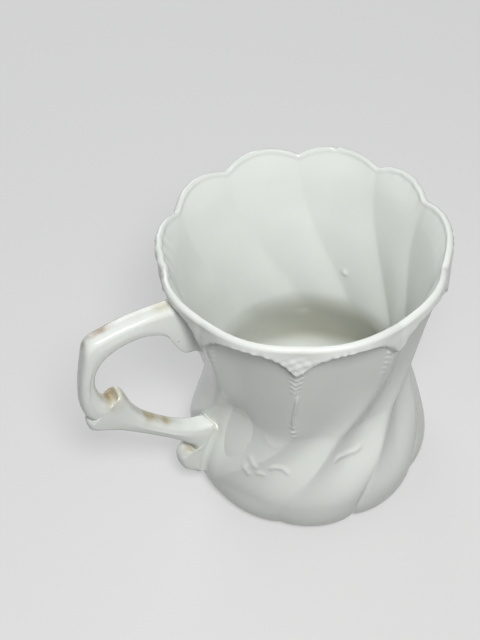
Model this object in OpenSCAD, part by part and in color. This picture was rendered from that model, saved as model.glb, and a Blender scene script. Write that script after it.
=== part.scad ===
// Porcelain cup with turned flutes, a scalloped rim with a raised border, and a scroll handle.
// Millimetres, +Z up. The origin is the centre of the face that the foot ring stands on,
// and the handle points to -X. Angles are in degrees, counted round +Z from +X.

/* [Body] */
// Height from the table to the tips of the rim's lobes
cup_h = 97.5; // [90:0.5:112]
// Outer radius of the rim, in the dips between its lobes
rim_r = 44.4; // [40:0.2:50]
// Outer radius of the waist, where the body is narrowest
waist_r = 34.2; // [31:0.2:37]
// Height of the waist above the table
waist_z = 43; // [36:0.5:50]
// Outer radius of the bulge round the base
bulge_r = 40.2; // [38:0.2:44]
// Height of the bulge's widest line above the table
bulge_z = 15; // [12:0.5:20]
// Outer radius of the heel, where the bulge turns under
heel_r = 35; // [33:0.2:37]
// Thickness of the cast wall
wall = 2.8; // [2:0.1:3.6]
// Thickness of the floor
floor_t = 3.4; // [2.5:0.1:5]
// Radius of the flat part of the floor inside the cup
floor_r = 24; // [18:0.5:28]

/* [Rim] */
// How far the rim dips between two lobes
lobe_drop = 2.8; // [1:0.1:4]
// How far a lobe's tip stands out past the dips
lobe_out = 0.5; // [0:0.1:1.2]
// Height of the raised border at the middle of a lobe
border_h = 2.6; // [2:0.1:4]
// Height of the border's pointed tongue between two lobes
tongue_h = 10.5; // [6:0.5:13]
// How far the border's lower edge stands proud of the panels
border_up = 1.3; // [0.4:0.1:1.6]

/* [Flutes] */
// How far the flutes turn round the body from the rim to the base
flute_turn = 54; // [30:1:65]
// Depth of the hollow of each panel under the rim
hollow_d = 1.2; // [0.4:0.1:1.6]
// Depth of the groove beside each crest, at the waist
groove_d = 2.9; // [1.5:0.1:3.3]
// Depth of the notches between the petals round the base
petal_d = 2.4; // [0.5:0.1:2.8]

/* [Foot] */
// Outer radius of the foot ring
foot_r = 31; // [28:0.2:32.5]
// Width of the foot ring's bare face
foot_w = 3; // [2:0.1:5]
// Height of the foot ring, and of the body's underside above the table
foot_h = 1.6; // [1:0.1:3]

/* [Handle] */
// Distance from the cup's axis to the outer face of the grip
handle_reach = 75.8; // [70:0.5:84]
// How far the top of the handle lies below the tips of the rim's lobes
handle_drop = 6.2; // [5.5:0.1:10]
// Width of the handle from side to side
handle_w = 6.4; // [5:0.1:9]
// Thickness of the grip, between its inner and outer faces
grip_t = 5; // [4:0.1:7]
// Radius that rounds the handle's four long edges
handle_edge_r = 1.9; // [0.8:0.1:2.4]
// Size of the slip fillet round the upper joint
upper_fillet = 2.4; // [1:0.1:3]
// Size of the slip fillet round the lower joint
lower_fillet = 1.7; // [1:0.1:2]
// Thickness of the slip between the handle's ends and the body
lute_gap = 0.2; // [0.15:0.01:0.3]

/* [Hidden] */

glaze_white = [0.90, 0.92, 0.89];
biscuit = [0.86, 0.82, 0.74];

// --- Flutes -------------------------------------------------------------------------------
// Each crest: its angle at the rim, the share of the height (from the rim) at which it starts
// to turn, the share of groove_d beside it, and the share of petal_d at its foot. The crest
// that carries the rope rib, at 242 degrees, runs down almost straight and fades out.
CRESTS = [
    [1.5, 0.12, 1, 1],
    [30, 0.12, 1, 1],
    [66, 0.12, 1, 1],
    [99.5, 0.12, 1, 1],
    [132, 0.12, 1, 1],
    [167, 0.25, 0.75, 0.5],
    [201, 0.40, 0.5, 0.3],
    [242, 0.50, 0.55, 0.1],
    [287, 0.12, 1, 0.5],
    [321, 0.12, 1, 1],
];
crest_n = len(CRESTS);

// Columns of each panel between two crests, closer together beside the crest and its groove
PANEL_STEPS = [0, 0.03, 0.06, 0.09, 0.12, 0.19, 0.30, 0.44, 0.60, 0.76, 0.89, 0.96];
panel_n = len(PANEL_STEPS);
column_n = crest_n * panel_n;

groove_at = 0.12;       // place of the groove's bottom, as a share of the panel's width
groove_thin = 1.4;      // how much thinner the wall is at the bottom of a groove
ridge_power = 1.4;      // how narrow the ridges are that the grooves make inside the cup
roll_power = 0.62;      // how quickly the roll beside the groove swells out again
petal_power = 0.45;     // how full the petals are
heel_power = 2.2;       // how square the heel turns under
flare_power = 1.25;     // how the wall opens from the waist to the rim
scallop_power = 2.2;    // how pointed the dips between the lobes are
tongue_power = 3;       // how pointed the border's tongues are
border_step = 1.4;      // height over which the border rises from the panel
border_lean = 0.7;      // share of border_up by which the border leans in again up to the rim
inner_relief = 0.55;    // share of the hollows and petals that shows inside the cup
slow_turn = 0.2;        // share of the turn that goes on all the way down
turn_end = 0.94;        // share of the height at which the turn is complete
petals_under = 3;       // how far under the bulge's widest line the petals reach unchanged
petals_blend = 22;      // height above that over which the petals give way to the grooves
hollows_over = 25;      // how far above the waist the grooves begin to open into hollows
hollows_under = 5;      // how far under the lobes' tips the hollows are complete
lip_reach = 9;          // how far down inside the rim its scalloped form reaches

function limit(x, low = 0, high = 1) = min(max(x, low), high);
function ease(x) = let (c = limit(x)) c * c * (3 - 2 * c);
function mix(a, b, f) = a + (b - a) * f;
function unit(v) = v / norm(v);
function crest(k, item) = CRESTS[(k + crest_n) % crest_n][item];

// Angle of crest k at height z; k may run past both ends of the list
function crest_angle(k, z) =
    let (down = limit(1 - z / cup_h))
    let (quick = ease((down - crest(k, 1)) / (turn_end - crest(k, 1))))
    crest(k, 0) + 360 * floor(k / crest_n) - flute_turn * mix(quick, down, slow_turn);

// Radius of the plain body, without its flutes, at height z
function side_r(z) =
    z < bulge_z
    ? mix(heel_r, bulge_r, sqrt(1 - pow(limit((bulge_z - z) / (bulge_z - foot_h)), heel_power)))
    : z < waist_z
    ? mix(bulge_r, waist_r, ease((z - bulge_z) / (waist_z - bulge_z)))
    : mix(waist_r, rim_r, pow((z - waist_z) / (cup_h - waist_z), flare_power));

// The three forms that a panel takes on its way down; t runs from one crest to the next
function hollow(t) = -hollow_d * sin(180 * t);
function groove(t) =
    -groove_d * (t < groove_at ? ease(t / groove_at)
    : 1 - pow((t - groove_at) / (1 - groove_at), roll_power));
function petal(t) = petal_d * (pow(max(sin(180 * t), 0), petal_power) - 1);
function ridge(t) =
    (groove_thin - groove_d) * pow((1 + cos(360 * (t - groove_at))) / 2, ridge_power);

// How far the panel between crests k and k+1 stands in from the plain body, outside the cup
// (share 1) and inside it (share inner_relief), with the form that its groove has there
function relief(k, t, z, share, groove_form) =
    let (below = ease((z - bulge_z + petals_under) / petals_blend))
    let (low = waist_z + hollows_over, above = ease((z - low) / (cup_h - hollows_under - low)))
    let (base = share * petal(t) * mix(crest(k, 3), crest(k + 1, 3), ease(t)))
    mix(base, mix(groove_form * crest(k, 2), share * hollow(t), above), below);

// The rim's height and the border's lower edge across a panel, and at a height z how far the
// border has risen from the panel and how far it stands proud there
function rim_z(t) = cup_h - lobe_drop * pow(abs(2 * t - 1), scallop_power);
function border_z(t) = rim_z(t) - mix(border_h, tongue_h, pow(abs(2 * t - 1), tongue_power));
function border(t, z) =
    let (low = border_z(t), rise = ease((z - low) / border_step + 0.5))
    let (lean = border_lean * limit((z - low) / (rim_z(t) - low)))
    [rise, lobe_out * sin(180 * t) + border_up * (1 - lean)];

// Outer and inner radius of the body at panel k, place t and height z
function outer_r(k, t, z) =
    let (b = border(t, z))
    side_r(z) + mix(relief(k, t, z, 1, groove(t)), b[1], b[0]);
function inner_r(k, t, z) =
    let (bowl = limit((bulge_z - z) / (bulge_z - foot_h - floor_t)))
    let (top = ease((z - rim_z(t)) / lip_reach + 1))
    let (form = mix(relief(k, t, z, inner_relief, ridge(t)), border(t, z)[1], top))
    bowl > 0
    ? mix(bulge_r - wall, floor_r, 1 - sqrt(1 - bowl * bowl)) + form * (1 - bowl)
    : side_r(z) - wall + form;

function on_body(k, t, z, r) =
    let (a = mix(crest_angle(k, z), crest_angle(k + 1, z), t))
    [r * cos(a), r * sin(a), z];

// --- Cup body ------------------------------------------------------------------------------
// Rows of the outer wall, from the heel to the border's lower edge
OUTER_ROWS = [0, 0.012, 0.04, 0.08, 0.12, 0.165, 0.21, 0.26, 0.31, 0.36, 0.42, 0.48, 0.55,
    0.62, 0.70, 0.78, 0.86, 0.93, 1];
// Rows of the inner wall, from just under the rim to the floor
INNER_ROWS = [1, 0.94, 0.86, 0.76, 0.66, 0.56, 0.46, 0.37, 0.29, 0.21, 0.14, 0.08, 0.04,
    0.012, 0];
LIP_TURNS = [0, 45, 90, 135, 180];
outer_row_n = len(OUTER_ROWS);
lip_n = len(LIP_TURNS);
inner_row_n = len(INNER_ROWS);
heel_in = 2.2;          // width of the flat that turns in under the heel
lip_h = wall / 2;       // the lip is half a circle across the wall
floor_z = foot_h + floor_t;

// Height of an outer row: the rows follow the border's scalloped lower edge
function outer_row_z(t, share) = mix(foot_h, border_z(t) - border_step / 2, share);

// One column of the body's skin, from the underside over the rim to the floor
function column(k, t) =
    let (top_z = rim_z(t) - lip_h)
    let (lip_r = outer_r(k, t, top_z))
    concat(
        [on_body(k, t, foot_h, outer_r(k, t, foot_h) - heel_in)],
        [for (row = OUTER_ROWS) let (z = outer_row_z(t, row)) on_body(k, t, z, outer_r(k, t, z))],
        [let (z = border_z(t) + border_step / 2) on_body(k, t, z, outer_r(k, t, z))],
        [for (turn = LIP_TURNS)
            on_body(k, t, top_z + lip_h * sin(turn), lip_r - lip_h * (1 - cos(turn)))],
        [for (row = INNER_ROWS) if (row < 1)
            let (z = mix(floor_z, top_z, row)) on_body(k, t, z, inner_r(k, t, z))]
    );
column_len = outer_row_n + lip_n + inner_row_n + 1;

module cup_body() {
    skin = [for (k = [0:crest_n - 1]) for (t = PANEL_STEPS) each column(k, t)];
    ends = [[0, 0, foot_h], [0, 0, floor_z]];
    under = len(skin);
    inside = under + 1;
    faces = [
        for (c = [0:column_n - 1]) let (a = c * column_len, b = ((c + 1) % column_n) * column_len)
        each concat(
            [[under, a, b]],
            [for (i = [0:column_len - 2])
                each [[a + i, a + i + 1, b + i], [b + i, a + i + 1, b + i + 1]]],
            [[a + column_len - 1, inside, b + column_len - 1]]
        )
    ];
    color(glaze_white) polyhedron(points = concat(skin, ends), faces = faces, convexity = 6);
}

// --- Foot ring -----------------------------------------------------------------------------
foot_draft = 0.4;       // how far each side of the ring leans in towards its bare face

module foot_ring() {
    color(biscuit) rotate_extrude($fn = 96) polygon([
        [foot_r - foot_w, 0],
        [foot_r - foot_draft, 0],
        [foot_r, foot_h],
        [foot_r - foot_w - foot_draft, foot_h]
    ]);
}

// --- Handle --------------------------------------------------------------------------------
// Rungs across the handle, from the upper joint round to the curl at the lower joint. Each is
// the outer end, the inner end, and a seat: 2 where the whole rung lies on the body, 1 where only
// its inner end does, and 0 where it stands free. An end is its share of the way out from the
// body's side to the outer face of the grip, and its height.
RUNGS = [
    [[0.001, 91.3], [0.017, 69.6], 2],
    [[0.104, 91.3], [0.078, 70.2], 0],
    [[0.199, 91.3], [0.122, 73.4], 0],
    [[0.291, 91.2], [0.128, 77.8], 0],
    [[0.38, 91], [0.189, 81.3], 0],
    [[0.484, 90.7], [0.323, 83.4], 0],
    [[0.595, 90.1], [0.468, 83.4], 0],
    [[0.706, 89.3], [0.592, 82.4], 0],
    [[0.812, 88.4], [0.699, 80.7], 0],
    [[0.879, 86.2], [0.77, 78.6], 0],
    [[0.92, 81.5], [0.817, 76.1], 0],
    [[0.959, 75.5], [0.848, 73], 0],
    [[0.989, 69], [0.856, 69.5], 0],
    [[1, 63.6], [0.843, 65.5], 0],
    [[0.987, 59], [0.815, 62.2], 0],
    [[0.962, 56.8], [0.76, 60.2], 0],
    [[0.94, 55.4], [0.719, 60.6], 0],
    [[0.973, 54], [0.696, 62.2], 0],
    [[0.968, 51.4], [0.661, 61.8], 0],
    [[0.892, 49.4], [0.631, 58.2], 0],
    [[0.772, 46.8], [0.597, 52.8], 0],
    [[0.63, 42.2], [0.524, 47.2], 0],
    [[0.466, 36.8], [0.391, 41.3], 0],
    [[0.3, 31.6], [0.246, 36.8], 0],
    [[0.182, 27.6], [0.109, 34.2], 0],
    [[0.098, 24.6], [-0.013, 31.2], 1],
    [[0.086, 22.5], [-0.04, 28], 1],
    [[0.163, 23], [-0.043, 24.5], 1],
    [[0.207, 21], [-0.037, 21.6], 1],
    [[0.201, 18], [-0.027, 18.4], 1],
    [[0.169, 15], [-0.005, 15.6], 1],
    [[0.113, 12.9], [-0.005, 13.4], 1],
    [[0.07, 11.8], [-0.002, 11.8], 1],
];
rung_n = len(RUNGS);
rungs_top = 91.3;       // height of the rungs' top as they are listed
rungs_grip = 5;         // thickness of the grip as it is listed
lift_from = 34;         // height below which the rungs stay where they are listed
lift_to = 70;           // height above which they move with the rim
rung_steps = 2;         // rings modelled for each listed rung

// Place of a listed end, as [distance from the axis, height]: the limbs stretch between the
// joints on the body and the grip
function placed(p) =
    let (lift = cup_h - handle_drop - rungs_top)
    let (z = p[1] + lift * ease((p[1] - lift_from) / (lift_to - lift_from)))
    [mix(side_r(z), handle_reach, p[0]), z];

// A smooth curve through four neighbours, at the share f between the middle two
function through(a, b, c, d, f) =
    b + ((c - a) * f + (2 * a - 5 * b + 4 * c - d) * f * f + (3 * b - a - 3 * c + d) * f * f * f) / 2;
function rung_item(i, item) =
    let (r = RUNGS[limit(i, 0, rung_n - 1)]) item == 2 ? r[2] : placed(r[item]);

// Radius of the body's outer face at angle a and height z
function wall_r(a, z) =
    let (k = [for (i = [2:crest_n + 3])
        if (crest_angle(i, z) <= a && a < crest_angle(i + 1, z)) i][0])
    let (low = crest_angle(k, z), high = crest_angle(k + 1, z))
    outer_r(k, (a - low) / (high - low), z);

// Distance from the axis, towards the handle, of a point that lies the gap off the body
function seat_s(y, z, gap) =
    let (r = wall_r(180 - atan2(y, side_r(z)), z) + gap) sqrt(max(r * r - y * y, 1));

// A rung between the listed ones: outer end, inner end, how far the inner end is seated, and
// whether the whole rung lies on the body
function rung(i, f) =
    let (o = [for (d = [-1:2]) rung_item(i + d, 0)], n = [for (d = [-1:2]) rung_item(i + d, 1)])
    let (outer = through(o[0], o[1], o[2], o[3], f), inner = through(n[0], n[1], n[2], n[3], f))
    let (grow = (grip_t - rungs_grip) / 2 * unit(outer - inner))
    let (seat = mix(rung_item(i, 2) == 1 ? 1 : 0, rung_item(i + 1, 2) == 1 ? 1 : 0, f))
    let (foot = [
        mix(inner[0] - grow[0], seat_s(0, inner[1], lute_gap), seat),
        inner[1] - grow[1] * (1 - seat)
    ])
    [outer + grow, foot, seat, i + f == 0];
rungs = [
    for (i = [0:rung_n - 2]) for (s = [0:rung_steps - 1]) rung(i, s / rung_steps),
    rung(rung_n - 2, 1)
];

// Across a rung: places from its inner to its outer end, and the half width there
EDGE_TURNS = [0, 30, 60, 90];
edge_n = len(EDGE_TURNS);
edge_flat = 0.1;        // least flat that is left between two rounded edges
function rows(length, seat) =
    let (hw = handle_w / 2, er = min(handle_edge_r, length / 2 - edge_flat, hw - edge_flat))
    concat(
        [for (q = EDGE_TURNS) [er * (1 - cos(q)), hw - er * (1 - sin(q)) * (1 - seat)]],
        [[length / 2, hw]],
        [for (i = [edge_n - 1:-1:0]) let (q = EDGE_TURNS[i])
            [length - er * (1 - cos(q)), hw - er * (1 - sin(q))]]
    );
row_n = 2 * edge_n + 1;

// One point of the handle: rung r, a row across it and a side, +1 or -1
function handle_point(r, row, side) =
    let (outer = r[0], inner = r[1], length = norm(outer - inner))
    let (p = rows(length, r[2])[row], flat = mix(inner, outer, p[0] / length), y = p[1] * side)
    let (curve = seat_s(0, flat[1], lute_gap) - seat_s(y, flat[1], lute_gap))
    let (s = r[3] ? seat_s(y, flat[1], lute_gap) : flat[0] - curve * r[2] * (1 - p[0] / length))
    [-s, y, flat[1]];
function ring(r) = concat(
    [for (row = [0:row_n - 1]) handle_point(r, row, 1)],
    [for (row = [row_n - 1:-1:0]) handle_point(r, row, -1)]
);
ring_n = 2 * row_n;

// Faces of a skin of rings, each of n points, that runs on round each ring
function ring_faces(n, count, closed = false) = [
    for (j = [0:count - (closed ? 1 : 2)]) for (i = [0:n - 1])
    let (a = j * n, b = ((j + 1) % count) * n, m = (i + 1) % n)
    each [[a + i, a + m, b + i], [a + m, b + m, b + i]]
];
// Faces that close an end ring, from side to side
function end_faces(n, start, flip) = [
    for (i = [0:n / 2 - 2])
    let (a = start + i, b = start + i + 1, c = start + n - 1 - i, d = start + n - 2 - i)
    each (flip ? [[a, b, c], [b, d, c]] : [[a, c, b], [b, c, d]])
];

module handle() {
    rings = [for (r = rungs) ring(r)];
    count = len(rings);
    color(glaze_white) polyhedron(
        points = [for (r = rings) each r],
        faces = concat(
            ring_faces(ring_n, count),
            end_faces(ring_n, 0, false),
            end_faces(ring_n, (count - 1) * ring_n, true)
        ),
        convexity = 8
    );
}

// --- Joints --------------------------------------------------------------------------------
// Each joint is a fillet of slip round one end of the handle, where it stands on the body.
seam_gap = 0.06;        // clearance between a fillet and what it lies against
FILLET_STEPS = [0.25, 0.5, 0.75];

// Puts a point on the body, the seam gap off its face
function laid(p) =
    let (a = atan2(p[1], p[0]), r = wall_r(a < 0 ? a + 360 : a, p[2]) + seam_gap)
    [r * cos(a), r * sin(a), p[2]];

// Lifts a point that would lie in the body, or too near it, to stand clear of the body's face
function cleared(p, rise) =
    let (r = norm([p[0], p[1]]), ground = laid(p), least = norm([ground[0], ground[1]]) + rise)
    r < least ? [p[0] * least / r, p[1] * least / r, p[2]] : p;

// Section of a fillet at the foot point p: up the handle's side, and out along the body
function fillet_section(p, up, out, size) =
    let (corner = laid(p + out * seam_gap))
    let (crown = corner + up * size, toe = laid(corner + out * size))
    concat(
        [corner, crown],
        [for (f = FILLET_STEPS) cleared(mix(mix(crown, corner, f), mix(corner, toe, f), f), seam_gap)],
        [toe, laid(mix(corner, toe, 0.5))]
    );
fillet_n = len(FILLET_STEPS) + 4;

// A closed fillet round the foot points in loop, each with its direction up the handle
module fillet(loop, ups, size) {
    count = len(loop);
    sections = [
        for (i = [0:count - 1])
        let (along = loop[(i + 1) % count] - loop[(i + count - 1) % count])
        each fillet_section(loop[i], ups[i], unit(cross(ups[i], along)), size)
    ];
    color(glaze_white) polyhedron(
        points = sections,
        faces = ring_faces(fillet_n, count, true),
        convexity = 6
    );
}

module handle_upper_joint() {
    foot = ring(rungs[0]);
    next = ring(rungs[1]);
    fillet(foot, [for (i = [0:ring_n - 1]) unit(next[i] - foot[i])], upper_fillet);
}

module handle_lower_joint() {
    first = [for (i = [0:len(rungs) - 1]) if (rungs[i][2] == 1) i][0];
    last = len(rungs) - 1;
    left = [for (i = [last:-1:first]) handle_point(rungs[i], 0, 1)];
    right = [for (i = [first:last]) handle_point(rungs[i], 0, -1)];
    top = mix(left[last - first], right[0], 0.5);
    bottom = mix(right[last - first], left[0], 0.5);
    out = [-1, 0, 0];
    free = rungs[first - 1];
    limb = unit(mix(handle_point(free, 0, 1), handle_point(free, 0, -1), 0.5) - top);
    ups = concat(
        [for (i = [last:-1:first]) i == first ? limb : out],
        [limb],
        [for (i = [first:last]) i == first ? limb : out],
        [out]
    );
    loop = concat(left, [top], right, [bottom]);
    fillet(loop, ups, lower_fillet);
}

cup_body();
foot_ring();
handle();
handle_upper_joint();
handle_lower_joint();
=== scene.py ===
# Looks of the glazed cup: the fluted body, its handle and joints, and the bare foot ring.
# Millimetres inside the formulas, metres in the meshes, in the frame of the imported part.
import math

import bpy
import numpy as np
from mathutils import Matrix, Vector


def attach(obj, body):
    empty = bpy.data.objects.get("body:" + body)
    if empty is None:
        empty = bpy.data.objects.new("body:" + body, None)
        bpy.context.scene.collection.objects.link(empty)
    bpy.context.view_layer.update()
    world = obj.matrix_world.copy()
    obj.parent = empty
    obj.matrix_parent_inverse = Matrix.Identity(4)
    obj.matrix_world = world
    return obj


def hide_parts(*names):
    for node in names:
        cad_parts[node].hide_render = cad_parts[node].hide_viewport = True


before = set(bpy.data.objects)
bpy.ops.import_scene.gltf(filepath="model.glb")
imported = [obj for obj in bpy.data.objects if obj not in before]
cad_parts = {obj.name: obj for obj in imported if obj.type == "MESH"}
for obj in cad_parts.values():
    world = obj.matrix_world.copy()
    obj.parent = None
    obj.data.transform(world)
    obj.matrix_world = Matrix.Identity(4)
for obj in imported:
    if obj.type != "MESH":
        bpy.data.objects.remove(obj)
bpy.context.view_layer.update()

MM = 0.001

# --- Sizes in mm and degrees, those of the solids but for the border and the front crests ------
CUP_H, RIM_R, WAIST_R, WAIST_Z = 97.5, 44.4, 34.2, 43.0
BULGE_R, BULGE_Z, HEEL_R, WALL = 40.2, 15.0, 35.0, 2.8
FLOOR_Z, FLOOR_R = 5.0, 24.0
LOBE_DROP, LOBE_OUT = 2.8, 0.5
BORDER_H, TONGUE_H, BORDER_UP, BORDER_LEAN, TONGUE_UP = 3.6, 10.5, 1.3, 1.25, 1.3
TURN, SLOW_TURN, TURN_END = 54.0, .2, .94
HOLLOW_D, GROOVE_D, PETAL_D, INSIDE_SHARE = 1.2, 2.9, 2.4, .34
FOOT_R, FOOT_W, FOOT_H = 31.0, 3.0, 1.6
REACH, WIDE, GRIP_EDGE = 75.68, 6.4, 2.3
# each crest: angle at the rim, where it starts to turn, the depth and the place of the groove in
# the panel that follows it, the share of its notch between the petals, how far the panel stays
# flat on its way over the bulge, and the share of the dip in the rim
CRESTS = np.array([
    [1.5, .16, 1, .42, 1, 0, 1], [30, .12, 1, .42, 1, 0, 1], [66, .12, 1, .42, 1, 0, 1],
    [99.5, .12, .9, .42, 1, 0, 1], [132, .12, .9, .42, 1, 0, 1], [167, .25, .7, .45, .5, .5, .7],
    [201, .40, .9, .32, .3, 1, .4], [242, .50, .75, .5, .1, 1, .1], [283.5, .30, 1, .46, .5, .4, .6],
    [321, .26, .95, .46, 1, 0, .9]])
PANELS = len(CRESTS)
FRONT = 7            # the crest that runs almost straight down the front
HANDLE_AT = 180      # the handle's angle

# the lip, outside and inside of its top, and the nick in it
LIP_OUT, LIP_IN, LIP_DROP = 1.45, .85, 1.6
NICK_AT, NICK_HALF, NICK_D = 49.5, 1.1, .75
# the pip of glaze on the far wall inside
PIP_AT, PIP_Z, PIP_HALF, PIP_UP, MM_PER_DEGREE = 39.2, 53.7, 1.1, .6, .6
# the hollow beside the lower joint
DENT_AT, DENT_Z, DENT_D, DENT_LEFT, DENT_RIGHT, DENT_H = 197, 34, 2.6, 6.5, 21, 18
# the rope of strokes under each tongue
ROPE_LOWS, ROPE_SPREAD, ROPE_SAG, ROPE_HALF, ROPE_UP = [83, 80.3, 77.6, 74.9, 72.2], (3.1, 1.7), 1.9, .6, .3
# ripples on the border, small lobes along its edge, the crease under it and the lumps at the front
RIPPLE_STEP, RIPPLE_LEFT, RIPPLE_RIGHT = 6, .3, .2
LOBES_ROUND, LOBE_UP, CREASE_D, LUMP_UP = 96, .22, .4, .07


def ease(x):
    x = np.clip(x, 0, 1)
    return x * x * (3 - 2 * x)


def mix(a, b, f):
    return a + (b - a) * f


def bump(x, width):
    return np.exp(-(x / width) ** 2)


def crest_angle(k, z):
    """Angle of crest k at height z: it turns a little all the way and mostly in between."""
    row = CRESTS[k % PANELS]
    down = np.clip(1 - z / CUP_H, 0, 1)
    quick = ease((down - row[..., 1]) / (TURN_END - row[..., 1]))
    return row[..., 0] + 360 * (k // PANELS) - TURN * mix(quick, down, SLOW_TURN)


def side_r(z):
    """Radius of the plain body at height z."""
    u = np.clip((BULGE_Z - z) / (BULGE_Z - FOOT_H), 0, 1)
    low = mix(HEEL_R, BULGE_R, np.sqrt(1 - u ** 2.2))
    mid = mix(BULGE_R, WAIST_R, ease((z - BULGE_Z) / (WAIST_Z - BULGE_Z)))
    up = mix(WAIST_R, RIM_R, np.clip((z - WAIST_Z) / (CUP_H - WAIST_Z), 0, 2) ** 1.25)
    return np.where(z < BULGE_Z, low, np.where(z < WAIST_Z, mid, up))


def groove(t, at):
    """A hollow with its deepest line at the share `at` of the panel, and a corner at each crest."""
    near, far = np.clip(t / at, 0, 1), np.clip((t - at) / (1 - at), 0, 1)
    flank = .5 * near + .5 * np.sin(np.pi / 2 * near)
    return -GROOVE_D * np.where(t < at, flank, np.cos(np.pi / 2 * far))


def relief(k, t, z, share=1.0):
    """How far a panel stands in from the plain body, outside (share 1) or inside the cup."""
    a, b = CRESTS[k % PANELS], CRESTS[(k + 1) % PANELS]
    below = ease((z - BULGE_Z + 3) / 22)
    above = ease((z - 82) / (CUP_H - 83))
    petal = PETAL_D * (np.sin(np.pi * t).clip(0) ** .45 - 1) * mix(a[..., 4], b[..., 4], ease(t))
    hollow = -HOLLOW_D * np.sin(np.pi * t)
    deep = groove(t, a[..., 3]) * a[..., 2]
    petal = petal + .8 * deep * a[..., 5] * ease((z - 3) / 12)
    return share * mix(petal, mix(deep, hollow, above), below)


def rim_z(k, t):
    """Height of the rim over panel k."""
    dip = np.where(t < .5, CRESTS[k % PANELS][..., 6], CRESTS[(k + 1) % PANELS][..., 6])
    return CUP_H - LOBE_DROP * dip * np.abs(2 * t - 1) ** 2.2


def border_z(t):
    """Height of the border's lower edge, which hangs down in a tongue at each crest."""
    out = np.abs(2 * t - 1)
    return CUP_H - LOBE_DROP * out ** 2.2 - mix(BORDER_H, TONGUE_H, out ** 2.4)


def rise(t, z):
    """0 below the border's edge and 1 on the border."""
    return ease((z - border_z(t)) / 1.4 + .5)


def proud(k, t, z):
    """How far the border stands out at height z: it leans in again up to the rim."""
    low = border_z(t)
    up = np.clip((z - low) / (rim_z(k, t) - low), 0, 1)
    tongue = TONGUE_UP * bump(np.minimum(t, 1 - t), .1) * (1 - up) * ease((96 - z) / 5)
    return LOBE_OUT * np.sin(np.pi * t) + BORDER_UP * (1 - BORDER_LEAN * up) + tongue


# --- Moulded detail, too fine for the solids ------------------------------------------------
def stroke(a, z, path, half, height, taper=.25):
    """A raised stroke along a path of (angle, height) points, with ends that fade out."""
    path = np.array(path, float)
    scale = np.radians(1) * float(side_r(path[:, 1].mean()))
    out = np.zeros_like(z)
    reach = 3 * half
    da = (a - path[0, 0] + 180) % 360 - 180 + path[0, 0]
    near = ((da > path[:, 0].min() - reach / scale) & (da < path[:, 0].max() + reach / scale)
            & (z > path[:, 1].min() - reach) & (z < path[:, 1].max() + reach))
    if not near.any():
        return out
    p = np.stack([da[near] * scale, z[near]], -1)
    q = path * [scale, 1]
    lengths = np.linalg.norm(np.diff(q, axis=0), axis=1)
    total, start = lengths.sum(), np.concatenate([[0], np.cumsum(lengths)])
    best, along = np.full(len(p), 1e9), np.zeros(len(p))
    for i in range(len(lengths)):
        d = q[i + 1] - q[i]
        f = np.clip(((p - q[i]) @ d) / (d @ d), 0, 1)
        dist = np.linalg.norm(p - q[i] - f[:, None] * d, axis=1)
        closer = dist < best
        best = np.where(closer, dist, best)
        along = np.where(closer, (start[i] + f * lengths[i]) / total, along)
    out[near] = height * bump(best, half) * ease(np.minimum(along, 1 - along) / taper + .15)
    return out


ORNAMENT = [
    # the curled leaf low on the left of the front, and the hook low on the right
    ([(210.5, 29.8), (213, 30.2), (216, 28.9), (218, 27.6)], .85, .32),
    ([(208.5, 26.6), (210.5, 26.2), (212.4, 25), (213.6, 23.4)], .9, .36),
    ([(216.8, 25.4), (219.6, 26.2), (222.4, 25.9)], .8, .3),
    ([(223.4, 28.6), (227, 30.2), (231, 30), (235.4, 28)], .8, .38),
    ([(205, 32.4), (207.4, 33.6), (210.2, 33.2)], .9, .2),
    ([(257.6, 31.6), (261, 33.6), (266, 33.3), (271, 33.2), (276.5, 34.8)], .9, .4),
    ([(218.6, 41.6), (222, 39.2), (227, 39), (232.4, 41)], .8, .1),
    # the thin crest under the rope at the front, and the rough end of it
    ([(240.6, 72), (239.8, 68), (238.6, 62), (237.4, 56), (236.8, 50)], .55, .75),
    ([(235, 52.6), (237.2, 51.6), (238.8, 52)], .5, .3),
    ([(235.4, 49), (236.8, 48.4), (238.6, 49.2)], .55, .35),
    ([(236.2, 46.4), (238.4, 46)], .5, .25),
]


def rope(a, z):
    """U-shaped strokes hanging under each of the border's tongues."""
    out = np.zeros(z.shape)
    for c in range(PANELS):
        up = ROPE_UP * (1 if c == FRONT else .8)
        count = len(ROPE_LOWS) if c in (FRONT, FRONT + 1) else len(ROPE_LOWS) - 1
        for i, low in enumerate(ROPE_LOWS[:count]):
            down = i / (len(ROPE_LOWS) - 1)
            spread = mix(*ROPE_SPREAD, down)
            middle = float(crest_angle(np.array(c), np.array(low)))
            arc = [(middle + spread * x, low + ROPE_SAG * x * x) for x in np.linspace(-1, 1, 9)]
            out += stroke(a % 360, z, arc, ROPE_HALF, up * mix(1, .5, down), .12)
    return out


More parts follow.
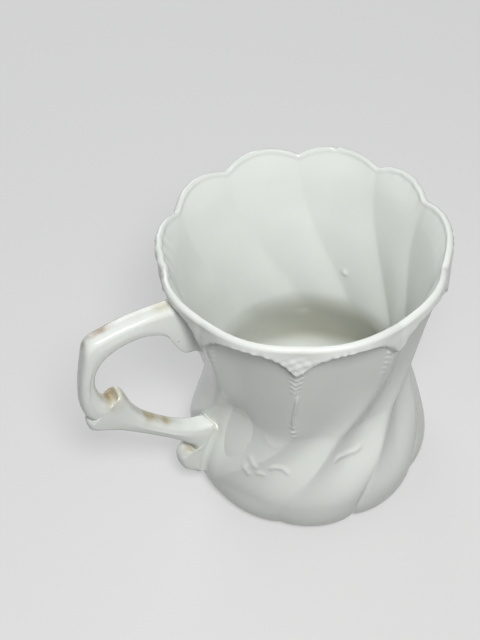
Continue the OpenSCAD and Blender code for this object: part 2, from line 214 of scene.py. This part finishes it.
def border_marks(a, z, t):
    """Ripples, lobes, the crease and lumps of slip on the border."""
    on, turn = rise(t, z), a % 360
    strong = RIPPLE_LEFT * ease((turn - 140) / 12) * ease((176 - turn) / 8)
    strong = strong + RIPPLE_RIGHT * bump(((a - 5 + 180) % 360) - 180, 30)
    out = on * strong * (np.cos(np.radians(a * 360 / RIPPLE_STEP)) - 1) * .5
    uneven = 1.5 * np.sin(np.radians(a * 17)) + 1.1 * np.sin(np.radians(a * 29 + 50))
    lobes = np.cos(np.radians(a * LOBES_ROUND) + uneven) * (.6 + .4 * np.sin(np.radians(a * 13)))
    edge = z - border_z(t) - .5
    bare = 1 - bump(turn - HANDLE_AT, 13)
    out += on * bare * LOBE_UP * (lobes - .5) * bump(edge, 1.1)
    out -= CREASE_D * bare * bump(edge + 2, .6)
    lumps = np.sin(np.radians(a * 74) + z * 1.1) + np.sin(z * 2.1 - np.radians(a * 49))
    out += on * LUMP_UP * lumps * bump(turn - CRESTS[FRONT, 0], 9) * ease((95 - z) / 3)
    # the border fades where the top limb of the handle runs into it
    return out - .85 * BORDER_UP * on * bump(turn - HANDLE_AT, 11) * ease((96 - z) / 4)


def detail(a, z, t):
    """Relief outwards at angle a (degrees), height z and place t in the panel."""
    a, z, t = np.broadcast_arrays(a, z, t)
    out = rope(a, z) + border_marks(a, z, t)
    for path, half, height in ORNAMENT:
        out += stroke(a, z, path, half, height)
    return out


rng = np.random.default_rng(7)
WAVES = [(rng.integers(1, 7), rng.uniform(.04, .16), rng.uniform(0, 6.28), rng.uniform(0, 6.28))
         for _ in range(10)]


def waves(a, z):
    """Slight unevenness of a hand-finished wall under its glaze."""
    out = 0
    for n, m, p, q in WAVES:
        out = out + .022 * np.sin(n * np.radians(a) + p) * np.sin(m * z + q)
    return out


def outer_r(k, t, z, a, fine=True):
    """Outer radius at place t of panel k, at height z and angle a."""
    r = side_r(z) + mix(relief(k, t, z), proud(k, t, z), rise(t, z))
    if fine:
        r = r + fine_relief(t, z, a)
    return r


def fine_relief(t, z, a):
    """What outer_r adds to the plain panels: the moulded detail, the hollow and the waves."""
    off = a % 360 - DENT_AT
    dent = -DENT_D * bump(off, np.where(off < 0, DENT_LEFT, DENT_RIGHT)) * bump(z - DENT_Z, DENT_H)
    return detail(a, z, t) + dent + waves(a, z) * (1 - rise(t, z)) - .08 * rise(t, z)


def soften(grid, times=10):
    """Rounds a grid of columns off a little from column to column, all round the cup."""
    for _ in range(times):
        grid = .5 * grid + .25 * (np.roll(grid, 1, 0) + np.roll(grid, -1, 0))
    return grid


def inner_r(k, t, z):
    """Radius of the inside, which is smooth just under the rim."""
    bowl = np.clip((BULGE_Z - z) / (BULGE_Z - FLOOR_Z), 0, 1)
    top = ease((z - rim_z(k, t)) / 9 + 1)
    soft = relief(k, t, z, INSIDE_SHARE) - .1
    form = mix(soft, LOBE_OUT * np.sin(np.pi * t) - .1, top)
    low = mix(BULGE_R - WALL, FLOOR_R, 1 - np.sqrt(1 - bowl * bowl)) + form * (1 - bowl)
    return np.where(bowl > 0, low, side_r(z) - WALL + form)


def inner_marks(a, z):
    """Slight unevenness inside the cup, and a pip of glaze on the far wall."""
    off = ((a - PIP_AT + 180) % 360 - 180) * MM_PER_DEGREE
    pip = bump(np.hypot(off, z - PIP_Z), PIP_HALF)
    return waves(a + 40, z) * ease((z - FLOOR_Z) / 8) - PIP_UP * pip


def angle(k, t, z):
    return mix(crest_angle(k, z), crest_angle(k + 1, z), t)


def wall_r(a, z, fine=True):
    """Outer radius of the body at angle a (degrees) and height z."""
    a, z = np.broadcast_arrays(np.asarray(a, float), np.asarray(z, float))
    edges = np.stack([crest_angle(np.full(a.shape, i), z) for i in range(2, PANELS + 5)])
    a = np.where(a < edges[0], a + 360, a)
    k = (a >= edges).sum(0) - 1
    low = np.take_along_axis(edges, k[None], 0)[0]
    high = np.take_along_axis(edges, k[None] + 1, 0)[0]
    return outer_r(k + 2, (a - low) / (high - low), z, a, fine)


# --- Meshes -----------------------------------------------------------------------------------
def mesh_object(name, points, faces, smooth=True):
    mesh = bpy.data.meshes.new(name)
    mesh.from_pydata([tuple(p) for p in np.asarray(points, float) * MM], [], faces)
    mesh.update()
    if smooth:
        mesh.polygons.foreach_set("use_smooth", [True] * len(mesh.polygons))
    obj = bpy.data.objects.new(name, mesh)
    bpy.context.scene.collection.objects.link(obj)
    return obj


def wrap_faces(columns, rows):
    """Quads between neighbouring columns of a skin that closes on itself."""
    c, r = np.meshgrid(np.arange(columns), np.arange(rows - 1), indexing="ij")
    a, b = c * rows + r, ((c + 1) % columns) * rows + r
    return np.stack([a, b, b + 1, a + 1], -1).reshape(-1, 4).tolist()


def body():
    """One closed skin: underside, outside, lip, inside and floor, in columns that follow the crests."""
    steps = 70
    u = np.arange(steps) / steps
    t = np.tile(u - .3 * np.sin(2 * np.pi * u) / (2 * np.pi), PANELS)[:, None]
    k = np.repeat(np.arange(PANELS), steps)[:, None]
    half = WALL / 2
    top = rim_z(k, t) - half
    low_rows, mid_rows, top_rows = 44, 110, 170
    share = np.concatenate([.1 * (np.arange(low_rows) / low_rows) ** 2,
                            np.linspace(.1, .6, mid_rows, False), np.linspace(.6, 1, top_rows)])
    top = soften(top)
    z = FOOT_H + (top - FOOT_H) * share[None]
    a = angle(k, t, z)
    plain = soften(outer_r(k, t, z, a, False), 8)
    worn = ease((76 - z) / 18) * ease((z - 26) / 14)
    r = mix(plain, soften(plain, 60), worn) + fine_relief(t, z, a)
    # the underside, from its middle out to the heel
    under_r = np.linspace(.04, 1, 26)[None] ** .8 * (r[:, :1] - 2.2)
    under_z = FOOT_H + .9 * ease((27 - under_r) / 5)
    # the lip, a little fuller than half a circle
    turns = np.radians(np.linspace(0, 180, 17)[1:])[None]
    nick = NICK_D * bump(((angle(k, t, top) - NICK_AT + 180) % 360) - 180, NICK_HALF)
    over = turns > np.pi / 2
    lip_r = r[:, -1:] - np.where(over, LIP_OUT - LIP_IN * np.cos(turns), LIP_OUT * (1 - np.cos(turns)))
    lip_z = top + half - nick - np.where(over, LIP_DROP - nick, half - nick) * (1 - np.sin(turns))
    # the inside, down to the floor
    down = np.concatenate([np.linspace(1, .12, 120), .12 * np.linspace(1, 0, 26)[1:] ** 2])[None]
    from_z = lip_z[:, -1:]
    in_z = FLOOR_Z + (from_z - FLOOR_Z) * down
    in_r = soften(inner_r(k, t, in_z), 110) + inner_marks(angle(k, t, in_z), in_z)
    seam = np.exp(-((from_z - in_z) / 3))
    in_r = mix(in_r, lip_r[:, -1:] + (in_r - in_r[:, :1]), seam)
    in_z, in_r = in_z[:, 1:], in_r[:, 1:]
    floor_r = np.linspace(1, .04, 22)[None, 1:] * in_r[:, -1:]
    floor_z = FLOOR_Z + .9 * ease(1 - floor_r / 20)
    rr = np.concatenate([under_r, r, lip_r, in_r, floor_r], 1)
    zz = np.concatenate([np.broadcast_to(under_z, under_r.shape), z, lip_z, in_z, floor_z], 1)
    low = np.broadcast_to(a[:, :1], under_r.shape)
    lips = np.broadcast_to(a[:, -1:], lip_r.shape)
    inner_a = angle(k, t, in_z)
    deep = np.broadcast_to(inner_a[:, -1:], floor_r.shape)
    aa = np.radians(np.concatenate([low, a, lips, inner_a, deep], 1))
    pts = np.stack([rr * np.cos(aa), rr * np.sin(aa), zz], -1)
    columns, rows = rr.shape
    faces = wrap_faces(columns, rows)
    n = columns * rows
    first = [c * rows for c in range(columns)]
    last = [c * rows + rows - 1 for c in range(columns)]
    faces += [(n, first[(i + 1) % columns], first[i]) for i in range(columns)]
    faces += [(n + 1, last[i], last[(i + 1) % columns]) for i in range(columns)]
    ends = [[0, 0, FOOT_H + .9], [0, 0, FLOOR_Z + .9]]
    return mesh_object("fluted_body", np.concatenate([pts.reshape(-1, 3), ends]), faces)


def foot():
    """The foot ring: a turned ring with worn, rounded edges."""
    inner, outer = FOOT_R - FOOT_W, FOOT_R
    prof = [(outer, FOOT_H), (outer - .1, .9), (outer - .25, .45), (outer - .45, .16),
            (outer - .8, .03), (outer - 1.2, 0), (inner + .7, 0), (inner + .3, .05),
            (inner, .22), (inner - .2, .6), (inner - .35, 1.1), (inner - .4, FOOT_H)]
    count, m = 288, len(prof)
    pts = []
    for i in range(count):
        a = 2 * math.pi * i / count
        wob = .035 * math.sin(5 * a + 1) + .02 * math.sin(13 * a)
        for r, z in prof:
            worn = r + wob * (r < outer - .05)
            pts.append((math.cos(a) * worn, math.sin(a) * worn, z))
    faces = []
    for i in range(count):
        j = (i + 1) % count
        for p in range(m):
            q = (p + 1) % m
            faces.append((i * m + p, i * m + q, j * m + q, j * m + p))
    return mesh_object("turned_foot", pts, faces)


# Rungs across the handle, as in the solids: outer end and inner end, each [share of the way from
# the body's side to the grip's outer face, height], and a seat: 2 where the whole rung lies on
# the body, 1 where only its inner end does, and 0 where it stands free
RUNGS = [
    [[0.001, 91.3], [0.017, 69.6], 2], [[0.104, 91.3], [0.078, 70.2], 0],
    [[0.199, 91.3], [0.122, 73.4], 0], [[0.291, 91.2], [0.128, 77.8], 0],
    [[0.38, 91], [0.189, 81.3], 0], [[0.484, 90.7], [0.323, 83.4], 0],
    [[0.595, 90.1], [0.468, 83.4], 0], [[0.706, 89.3], [0.592, 82.4], 0],
    [[0.812, 88.4], [0.699, 80.7], 0], [[0.879, 86.2], [0.77, 78.6], 0],
    [[0.92, 81.5], [0.817, 76.1], 0], [[0.959, 75.5], [0.848, 73], 0],
    [[0.989, 69], [0.856, 69.5], 0], [[1, 63.6], [0.843, 65.5], 0],
    [[0.987, 59], [0.815, 62.2], 0], [[0.962, 56.8], [0.76, 60.2], 0],
    [[0.94, 55.4], [0.719, 60.6], 0], [[0.973, 54], [0.696, 62.2], 0],
    [[0.968, 51.4], [0.661, 61.8], 0], [[0.892, 49.4], [0.631, 58.2], 0],
    [[0.772, 46.8], [0.597, 52.8], 0], [[0.63, 42.2], [0.524, 47.2], 0],
    [[0.466, 36.8], [0.391, 41.3], 0], [[0.3, 31.6], [0.246, 36.8], 0],
    [[0.182, 27.6], [0.109, 34.2], 0], [[0.098, 24.6], [-0.013, 31.2], 1],
    [[0.086, 22.5], [-0.04, 28], 1], [[0.163, 23], [-0.043, 24.5], 1],
    [[0.207, 21], [-0.037, 21.6], 1], [[0.201, 18], [-0.027, 18.4], 1],
    [[0.169, 15], [-0.005, 15.6], 1], [[0.113, 12.9], [-0.005, 13.4], 1],
    [[0.07, 11.8], [-0.002, 11.8], 1]]
SINK = -.25          # the handle's ends reach this far into the body's glaze
CROWN = .25          # how far the handle's broad sides bulge in their middle


def seat_s(y, z):
    """Distance from the axis, toward the handle, at which a point at y and z lies on the body."""
    a = 180 - np.degrees(np.arctan2(y, side_r(z)))
    r = wall_r(a, z, False) + SINK
    return np.sqrt(np.maximum(r * r - y * y, 1))


def handle_rings(steps=6):
    """Rings round the handle from its upper end to its curl, and the rung that each lies at."""
    def end(i, item):
        u, z = RUNGS[min(max(i, 0), len(RUNGS) - 1)][item]
        return np.array([mix(float(side_r(np.array(z))), REACH, u), z])

    def curve(i, item, f):
        a, b, c, d = [end(i + j, item) for j in (-1, 0, 1, 2)]
        return b + ((c - a) * f + (2 * a - 5 * b + 4 * c - d) * f * f
                    + (3 * b - a - 3 * c + d) * f ** 3) / 2

    places = [(i, s / steps) for i in range(len(RUNGS) - 1) for s in range(steps)]
    places.append((len(RUNGS) - 2, 1.0))
    turns = np.radians(np.linspace(0, 90, 8))
    rings = []
    for i, f in places:
        outer, inner = curve(i, 0, f), curve(i, 1, f)
        one = [1.0 if RUNGS[min(i + j, len(RUNGS) - 1)][2] == 1 else 0.0 for j in (0, 1)]
        seat = mix(one[0], one[1], f)
        whole = i + f == 0
        inner = np.array([mix(inner[0], float(seat_s(np.array(0.), np.array(inner[1]))), seat), inner[1]])
        length = np.linalg.norm(outer - inner)
        hw = WIDE / 2
        er = min(GRIP_EDGE, length / 2 - .1, hw - .1)
        rows = [(er * (1 - math.cos(q)), hw - er * (1 - math.sin(q)) * (1 - seat)) for q in turns]
        rows += [(er + (length - 2 * er) * g, hw + CROWN * math.sin(math.pi * g))
                 for g in (.25, .5, .75)]
        rows += [(length - er * (1 - math.cos(q)), hw - er * (1 - math.sin(q))) for q in turns[::-1]]
        # the narrow outer face is crowned a little across its width
        rows += [(length + .1 * math.cos(math.pi / 2 * y / (hw - er)), y)
                 for y in ((hw - er) * .5, 0)]
        rows = [(0.0, 0.0), (0.0, (hw - er * (1 - seat)) * .5)] + rows
        ring = []
        sides = [(p, 1) for p in rows] + [(p, -1) for p in rows[-2:0:-1]]
        for (p, y), side in sides:
            flat = mix(inner, outer, p / length)
            y = y * side
            if whole:
                s = float(seat_s(np.array(y), np.array(flat[1])))
            elif seat > 0:
                z = np.array(flat[1])
                bend = float(seat_s(np.array(0.), z)) - float(seat_s(np.array(y), z))
                s = flat[0] - bend * seat * (1 - p / length)
            else:
                s = flat[0]
            ring.append((-s, y, flat[1]))
        rings.append(np.array(ring))
    return rings, places


def ring_skin(rings):
    """Points and faces of the skin over a row of rings, with a cap at each end."""
    n = len(rings[0])
    pts = np.concatenate(rings)
    faces = []
    for j in range(len(rings) - 1):
        for i in range(n):
            m = (i + 1) % n
            faces.append((j * n + i, j * n + m, (j + 1) * n + m, (j + 1) * n + i))
    for base, flip in ((0, True), ((len(rings) - 1) * n, False)):
        for i in range(1, n // 2):
            quad = [base + i - 1, base + i, base + n - i, base + (n - i + 1) % n]
            quad = list(dict.fromkeys(quad))
            faces.append(tuple(quad[::-1] if flip else quad))
        tail = [base + n // 2 - 1, base + n // 2, base + n // 2 + 1]
        faces.append(tuple(tail[::-1] if flip else tail))
    return pts, faces


def fillet(loop, ups, size, name):
    """A fillet of slip round a closed loop of foot points, tangent to the handle and the body."""
    loop = np.array(loop)
    n = len(loop)
    along = np.roll(loop, -1, 0) - np.roll(loop, 1, 0)
    out = np.cross(ups, along)
    out /= np.linalg.norm(out, axis=1)[:, None]

    def laid(p, gap):
        a = np.degrees(np.arctan2(p[:, 1], p[:, 0])) % 360
        r = wall_r(a, p[:, 2]) + gap
        return np.stack([r * np.cos(np.radians(a)), r * np.sin(np.radians(a)), p[:, 2]], -1)

    corner = laid(loop, -.1)
    crown = corner + ups * size - out * .12
    toe = laid(corner + out * size, -.06)
    rows = [corner - out * .2, crown]
    for f in np.linspace(0, 1, 9)[1:-1]:
        p = mix(mix(crown, corner + out * .03, f), mix(corner + out * .03, toe, f), f)
        ground = laid(p, .01)
        r = np.hypot(p[:, 0], p[:, 1])
        least = np.hypot(ground[:, 0], ground[:, 1])
        p[:, :2] *= (np.maximum(r, least) / r)[:, None]
        rows.append(p)
    rows += [toe, laid(mix(corner, toe, .5), -.25)]
    pts = np.stack(rows, 1)
    m = pts.shape[1]
    faces = []
    for j in range(n):
        for i in range(m):
            a, b = j * m, ((j + 1) % n) * m
            q = (i + 1) % m
            faces.append((a + i, a + q, b + q, b + i))
    return mesh_object(name, pts.reshape(-1, 3), faces)


# --- Materials --------------------------------------------------------------------------------
class Nodes:
    """Small helper for building a material's nodes."""

    def __init__(self, name):
        self.material = bpy.data.materials.new(name)
        self.material.use_nodes = True
        self.tree = self.material.node_tree
        self.shader = self.tree.nodes["Principled BSDF"]
        where = self.tree.nodes.new("ShaderNodeTexCoord")
        self.place, self.normal = where.outputs["Object"], where.outputs["Normal"]

    def add(self, kind, inputs=None, **settings):
        node = self.tree.nodes.new(kind)
        for key, value in settings.items():
            setattr(node, key, value)
        for key, value in (inputs or {}).items():
            self.put(node.inputs[key], value)
        return node

    def put(self, socket, value):
        if isinstance(value, bpy.types.NodeSocket):
            self.tree.links.new(value, socket)
        else:
            socket.default_value = value

    def noise(self, scale, detail=3, rough=.5, place=None):
        return self.add("ShaderNodeTexNoise", {"Vector": place or self.place, "Scale": scale,
                                               "Detail": detail, "Roughness": rough}).outputs["Fac"]

    def remap(self, value, low, high, to_low=0.0, to_high=1.0, smooth=True):
        node = self.add("ShaderNodeMapRange", {"Value": value, "From Min": low, "From Max": high,
                                               "To Min": to_low, "To Max": to_high})
        node.interpolation_type = "SMOOTHSTEP" if smooth else "LINEAR"
        return node.outputs["Result"]

    def math(self, kind, a, b):
        return self.add("ShaderNodeMath", {0: a, 1: b}, operation=kind).outputs[0]

    def blend(self, fac, a, b):
        node = self.add("ShaderNodeMix", data_type="RGBA")
        self.put(node.inputs["Factor"], fac)
        self.put(node.inputs[6], a)
        self.put(node.inputs[7], b)
        return node.outputs[2]

    def near(self, centre, radius, soft=1.0, stretch=(1, 1, 1)):
        """1 close to a point on the object, 0 further off, with a ragged edge."""
        moved = self.add("ShaderNodeVectorMath", {0: self.place, 1: [-c * MM for c in centre]},
                         operation="ADD").outputs[0]
        scaled = self.add("ShaderNodeVectorMath", {0: moved, 1: stretch},
                          operation="MULTIPLY").outputs[0]
        dist = self.add("ShaderNodeVectorMath", {0: scaled}, operation="LENGTH").outputs["Value"]
        ragged = self.noise(190, 3, .5)
        wobble = self.math("MULTIPLY", self.math("SUBTRACT", ragged, .5), radius * MM * .9)
        core = radius * MM * (1 - .9 * soft)
        return self.remap(self.math("ADD", dist, wobble), core, radius * MM, 1, 0)


def rgb(r, g, b):
    return (r, g, b, 1)


GLAZE_COOL, GLAZE_PALE, GLAZE_WARM = rgb(.745, .78, .75), rgb(.79, .82, .79), rgb(.77, .785, .745)
# the olive tint low inside is partly thicker glaze and partly painted shade
POOLED_AND_SHADE, IRON = rgb(.45, .455, .37), rgb(.22, .18, .12)
CLAY_DARK, CLAY_PALE, GRIME = rgb(.74, .70, .61), rgb(.83, .80, .73), rgb(.46, .40, .31)


def glaze(name, stains=(), pooled_and_shaded=False):
    """White glaze with clouds, specks and stains, and on request a darkening low inside that is partly
    thicker pooled glaze and partly painted shade; each stain is centre, radius, strength, tint, stretch.
    """
    m = Nodes(name)
    cloud = m.remap(m.noise(26, 3), .35, .65)
    colour = m.blend(cloud, GLAZE_COOL, GLAZE_PALE)
    fine = m.remap(m.noise(210, 4, .6), .3, .75)
    colour = m.blend(m.math("MULTIPLY", fine, .35), colour, GLAZE_WARM)
    # specks of iron in the glaze
    cell = m.add("ShaderNodeTexVoronoi", {"Vector": m.place, "Scale": 92.0}, feature="F1")
    drawn = m.add("ShaderNodeSeparateColor", {0: cell.outputs["Color"]}).outputs[0]
    picked = m.remap(drawn, .93, .94)
    dot = m.math("MULTIPLY", m.remap(cell.outputs["Distance"], .018, .034, 1, 0), picked)
    colour = m.blend(m.math("MULTIPLY", dot, .55), colour, IRON)
    if pooled_and_shaded:
        # the glaze lies thicker, and darker, where the inside of the bulge turns under; this darkening is
        # also painted shade on the lower inside wall, strongest towards +x
        facing = m.add("ShaderNodeVectorMath", {0: m.place, 1: m.normal},
                       operation="DOT_PRODUCT").outputs["Value"]
        x, y, z = m.add("ShaderNodeSeparateXYZ", {0: m.place}).outputs
        pool_and_shade = m.math("MULTIPLY", m.remap(facing, -.02, -.008, 1, 0), m.remap(z, .03, .045, 1, 0))
        pool_and_shade = m.math("MULTIPLY", pool_and_shade, m.remap(z, .008, .018))
        pool_and_shade = m.math("MULTIPLY", pool_and_shade, m.remap(x, -.02, .025, .35, 1))
        colour = m.blend(pool_and_shade, colour, POOLED_AND_SHADE)
    for centre, radius, strength, tint, stretch in stains:
        mask = m.near(centre, radius, stretch=stretch)
        patchy = m.remap(m.noise(150, 3, .5), .3, .7, .35, 1)
        mask = m.math("MINIMUM", m.math("MULTIPLY", mask, m.math("MULTIPLY", patchy, strength)), 1.0)
        colour = m.blend(mask, colour, rgb(*tint))
    m.put(m.shader.inputs["Base Color"], colour)
    m.put(m.shader.inputs["Roughness"], m.remap(m.noise(60, 3), .3, .7, .18, .27))
    m.shader.inputs["IOR"].default_value = 1.5
    m.shader.inputs["Coat Weight"].default_value = .25
    m.shader.inputs["Coat Roughness"].default_value = .1
    peel = m.add("ShaderNodeBump", {"Height": m.noise(150, 3, .5), "Strength": .05, "Distance": .001})
    m.put(m.shader.inputs["Normal"], peel.outputs["Normal"])
    return m.material


def biscuit(name):
    """Bare clay, with grime in its pores."""
    m = Nodes(name)
    colour = m.blend(m.remap(m.noise(70, 4), .35, .65), CLAY_DARK, CLAY_PALE)
    grime = m.remap(m.noise(300, 5, .65), .5, .7)
    colour = m.blend(m.math("MULTIPLY", grime, .45), colour, GRIME)
    m.put(m.shader.inputs["Base Color"], colour)
    m.put(m.shader.inputs["Roughness"], m.remap(m.noise(500, 3), .3, .7, .6, .85))
    grain = m.add("ShaderNodeBump", {"Height": m.noise(1500, 4, .6), "Strength": .25,
                                     "Distance": .0003})
    m.put(m.shader.inputs["Normal"], grain.outputs["Normal"])
    return m.material


BROWN, TAN, DARK = (.27, .19, .09), (.50, .45, .28), (.14, .11, .07)
body_glaze = glaze("body_glaze", [
    ((-44.5, 6, 93), 8, .4, TAN, (1, 1, 1)),
    ((-45.5, 14, 91), 5, .4, TAN, (1, 1, 1)),
    ((-36, -3, 30), 6, .45, TAN, (1, 1, 1)),
], True)
handle_glaze = glaze("handle_glaze", [
    ((-72.4, .5, 87.2), 2.6, 1.2, BROWN, (1, .8, 1)),
    ((-66, 1.2, 90), 4.4, 1, BROWN, (.55, 1.8, 1)),
    ((-54, 1, 91), 5, .35, TAN, (.8, 1.6, 1)),
    ((-46.5, .5, 91), 4.6, .7, TAN, (.8, 1, 1)),
    ((-66, 1, 60), 4.4, 1.2, BROWN, (1, .8, 1)),
    ((-63.5, -1, 60.5), 7, .7, TAN, (1, 1, 1)),
    ((-46, 1, 42.5), 6.4, 1.7, TAN, (.8, 1.1, 1)),
    ((-53, 1, 46.6), 6.4, 1.7, TAN, (.8, 1.1, 1)),
    ((-59.5, 1, 50), 4, .7, TAN, (.8, 1, 1)),
    ((-41.5, -1, 23.3), 2.8, 1.2, DARK, (1, .8, 1)),
    ((-43, -1, 23.5), 4.5, .7, TAN, (1, 1, 1)),
    ((-75, 0, 57), 3, .5, TAN, (1, 1, 1)),
])
foot_clay = biscuit("foot_biscuit")


# --- The piece -------------------------------------------------------------------------------
UPPER_SLIP, LOWER_SLIP = 3.4, 2.2     # sizes of the fillets of slip


def dress(obj, node, material):
    obj.data.materials.append(material)
    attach(obj, "root")
    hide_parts(node)


cup = body()
dress(cup, "cup_body", body_glaze)
dress(foot(), "foot_ring", foot_clay)
rings, places = handle_rings()
handle = mesh_object("scroll_handle", *ring_skin(rings))
dress(handle, "handle", handle_glaze)

# the fillet round the top limb
first, after = rings[0], rings[1]
ups = after - first
ups /= np.linalg.norm(ups, axis=1)[:, None]
upper = fillet(first, ups, UPPER_SLIP, "upper_slip")
dress(upper, "handle_upper_joint", body_glaze)

# the fillet round the curl
first_seated = next(i for i, rung in enumerate(RUNGS) if rung[2] == 1)
seated = [j for j, (i, f) in enumerate(places) if i >= first_seated]
n = len(rings[0])
left = [rings[j][2] for j in seated[::-1]]
right = [rings[j][n - 2] for j in seated]
loop = left + [(left[-1] + right[0]) / 2] + right + [(right[-1] + left[0]) / 2]
free = rings[seated[0] - 1]
limb = (free[2] + free[n - 2]) / 2 - (left[-1] + right[0]) / 2
limb /= np.linalg.norm(limb)
outward = np.array([-1.0, 0, 0])
lower_ups = [limb if i == len(left) - 1 else outward for i in range(len(left))] + [limb]
lower_ups += [limb if i == 0 else outward for i in range(len(right))] + [outward]
lower = fillet(loop, np.array(lower_ups), LOWER_SLIP, "lower_slip")
dress(lower, "handle_lower_joint", body_glaze)

# --- Floor, light and camera ---------------------------------------------------------------
FLOOR_HALF, FLOOR_GLOW = 2500, .45
WORLD_FILL, WORLD_SEEN = .06, .5
# the camera was fitted to the photograph: focal length, frame height and shifts in its pixels,
# sensor and places in mm, turn round the cup and roll in degrees
FOCAL_PX, FRAME_PX, SENSOR = 1400, 640, 36
SHIFT_X_PX, SHIFT_Y_PX = -21.5, -8.5
CAMERA_AT, CAMERA_AIM = (0, -300.0, 386.9), (-13.6, 0, 66.6)
CAMERA_TURN, CAMERA_ROLL = -26, -2.82
LAMP_AIM = Vector((0, 0, .05))

corners = [(x * FLOOR_HALF, y * FLOOR_HALF, 0) for x, y in ((-1, -1), (1, -1), (1, 1), (-1, 1))]
floor = mesh_object("floor", corners, [(0, 1, 2, 3)], False)
stage = Nodes("pale_floor")
# the camera sees a pale floor, and the cup gets the weak light back that a dark table would give
path = stage.add("ShaderNodeLightPath").outputs
seen = stage.math("MAXIMUM", path["Is Camera Ray"], path["Is Glossy Ray"])
seen = stage.math("MAXIMUM", seen, path["Is Transmission Ray"])
pale = stage.blend(stage.noise(3, 2), rgb(.27, .272, .27), rgb(.29, .292, .29))
stage.put(stage.shader.inputs["Base Color"], stage.blend(seen, rgb(.16, .155, .15), pale))
stage.shader.inputs["Roughness"].default_value = .9
stage.put(stage.shader.inputs["Emission Color"], rgb(1, 1, 1))
stage.put(stage.shader.inputs["Emission Strength"], stage.math("MULTIPLY", seen, FLOOR_GLOW))
floor.data.materials.append(stage.material)

world = bpy.data.worlds.new("studio")
bpy.context.scene.world = world
world.use_nodes = True
sky = world.node_tree.nodes["Background"]
sky.inputs["Color"].default_value = (.96, .98, 1, 1)
rays = world.node_tree.nodes.new("ShaderNodeLightPath").outputs
value = rays["Is Camera Ray"]
for kind in ("Is Glossy Ray", "Is Transmission Ray"):
    most = world.node_tree.nodes.new("ShaderNodeMath")
    most.operation = "MAXIMUM"
    world.node_tree.links.new(value, most.inputs[0])
    world.node_tree.links.new(rays[kind], most.inputs[1])
    value = most.outputs[0]
bright = world.node_tree.nodes.new("ShaderNodeMapRange")
bright.inputs["To Min"].default_value = WORLD_FILL
bright.inputs["To Max"].default_value = WORLD_SEEN
world.node_tree.links.new(value, bright.inputs["Value"])
world.node_tree.links.new(bright.outputs["Result"], sky.inputs["Strength"])


def lamp(name, azimuth, height, distance, size, watts, colour=(1, 1, 1)):
    """A square lamp aimed at the cup; azimuth is counted round +Z from +X."""
    data = bpy.data.lights.new(name, "AREA")
    data.size, data.energy, data.color = size, watts, colour
    obj = bpy.data.objects.new(name, data)
    a, h = math.radians(azimuth), math.radians(height)
    way = Vector((math.cos(h) * math.cos(a), math.cos(h) * math.sin(a), math.sin(h)))
    obj.location = LAMP_AIM + way * distance
    obj.rotation_euler = way.to_track_quat("Z", "Y").to_euler()
    bpy.context.scene.collection.objects.link(obj)


lamp("key", 253, 54, .55, .14, 2, (1, .995, .98))
lamp("flash", 253, 54, .55, .08, .8)
lamp("back", 90, 26, 1.2, .8, 5.5, (.96, .98, 1))
lamp("side", 30, 20, 1.2, .8, .9, (.97, .98, 1))

camera_data = bpy.data.cameras.new("camera")
camera_data.sensor_width = SENSOR
camera_data.lens = FOCAL_PX / FRAME_PX * SENSOR
camera_data.shift_x, camera_data.shift_y = SHIFT_X_PX / FRAME_PX, SHIFT_Y_PX / FRAME_PX
camera = bpy.data.objects.new("camera", camera_data)
bpy.context.scene.collection.objects.link(camera)
spot, aim = Vector(CAMERA_AT) * MM, Vector(CAMERA_AIM) * MM
ahead = (aim - spot).normalized()
side = ahead.cross(Vector((0, 0, 1))).normalized()
up = side.cross(ahead)
cos_roll, sin_roll = math.cos(math.radians(CAMERA_ROLL)), math.sin(math.radians(CAMERA_ROLL))
side, up = side * cos_roll + up * sin_roll, up * cos_roll - side * sin_roll
pose = Matrix((side, up, -ahead)).transposed().to_4x4()
pose.translation = spot
camera.matrix_world = Matrix.Rotation(math.radians(CAMERA_TURN), 4, "Z") @ pose
bpy.context.scene.camera = camera
bpy.context.scene.view_settings.view_transform = "Standard"
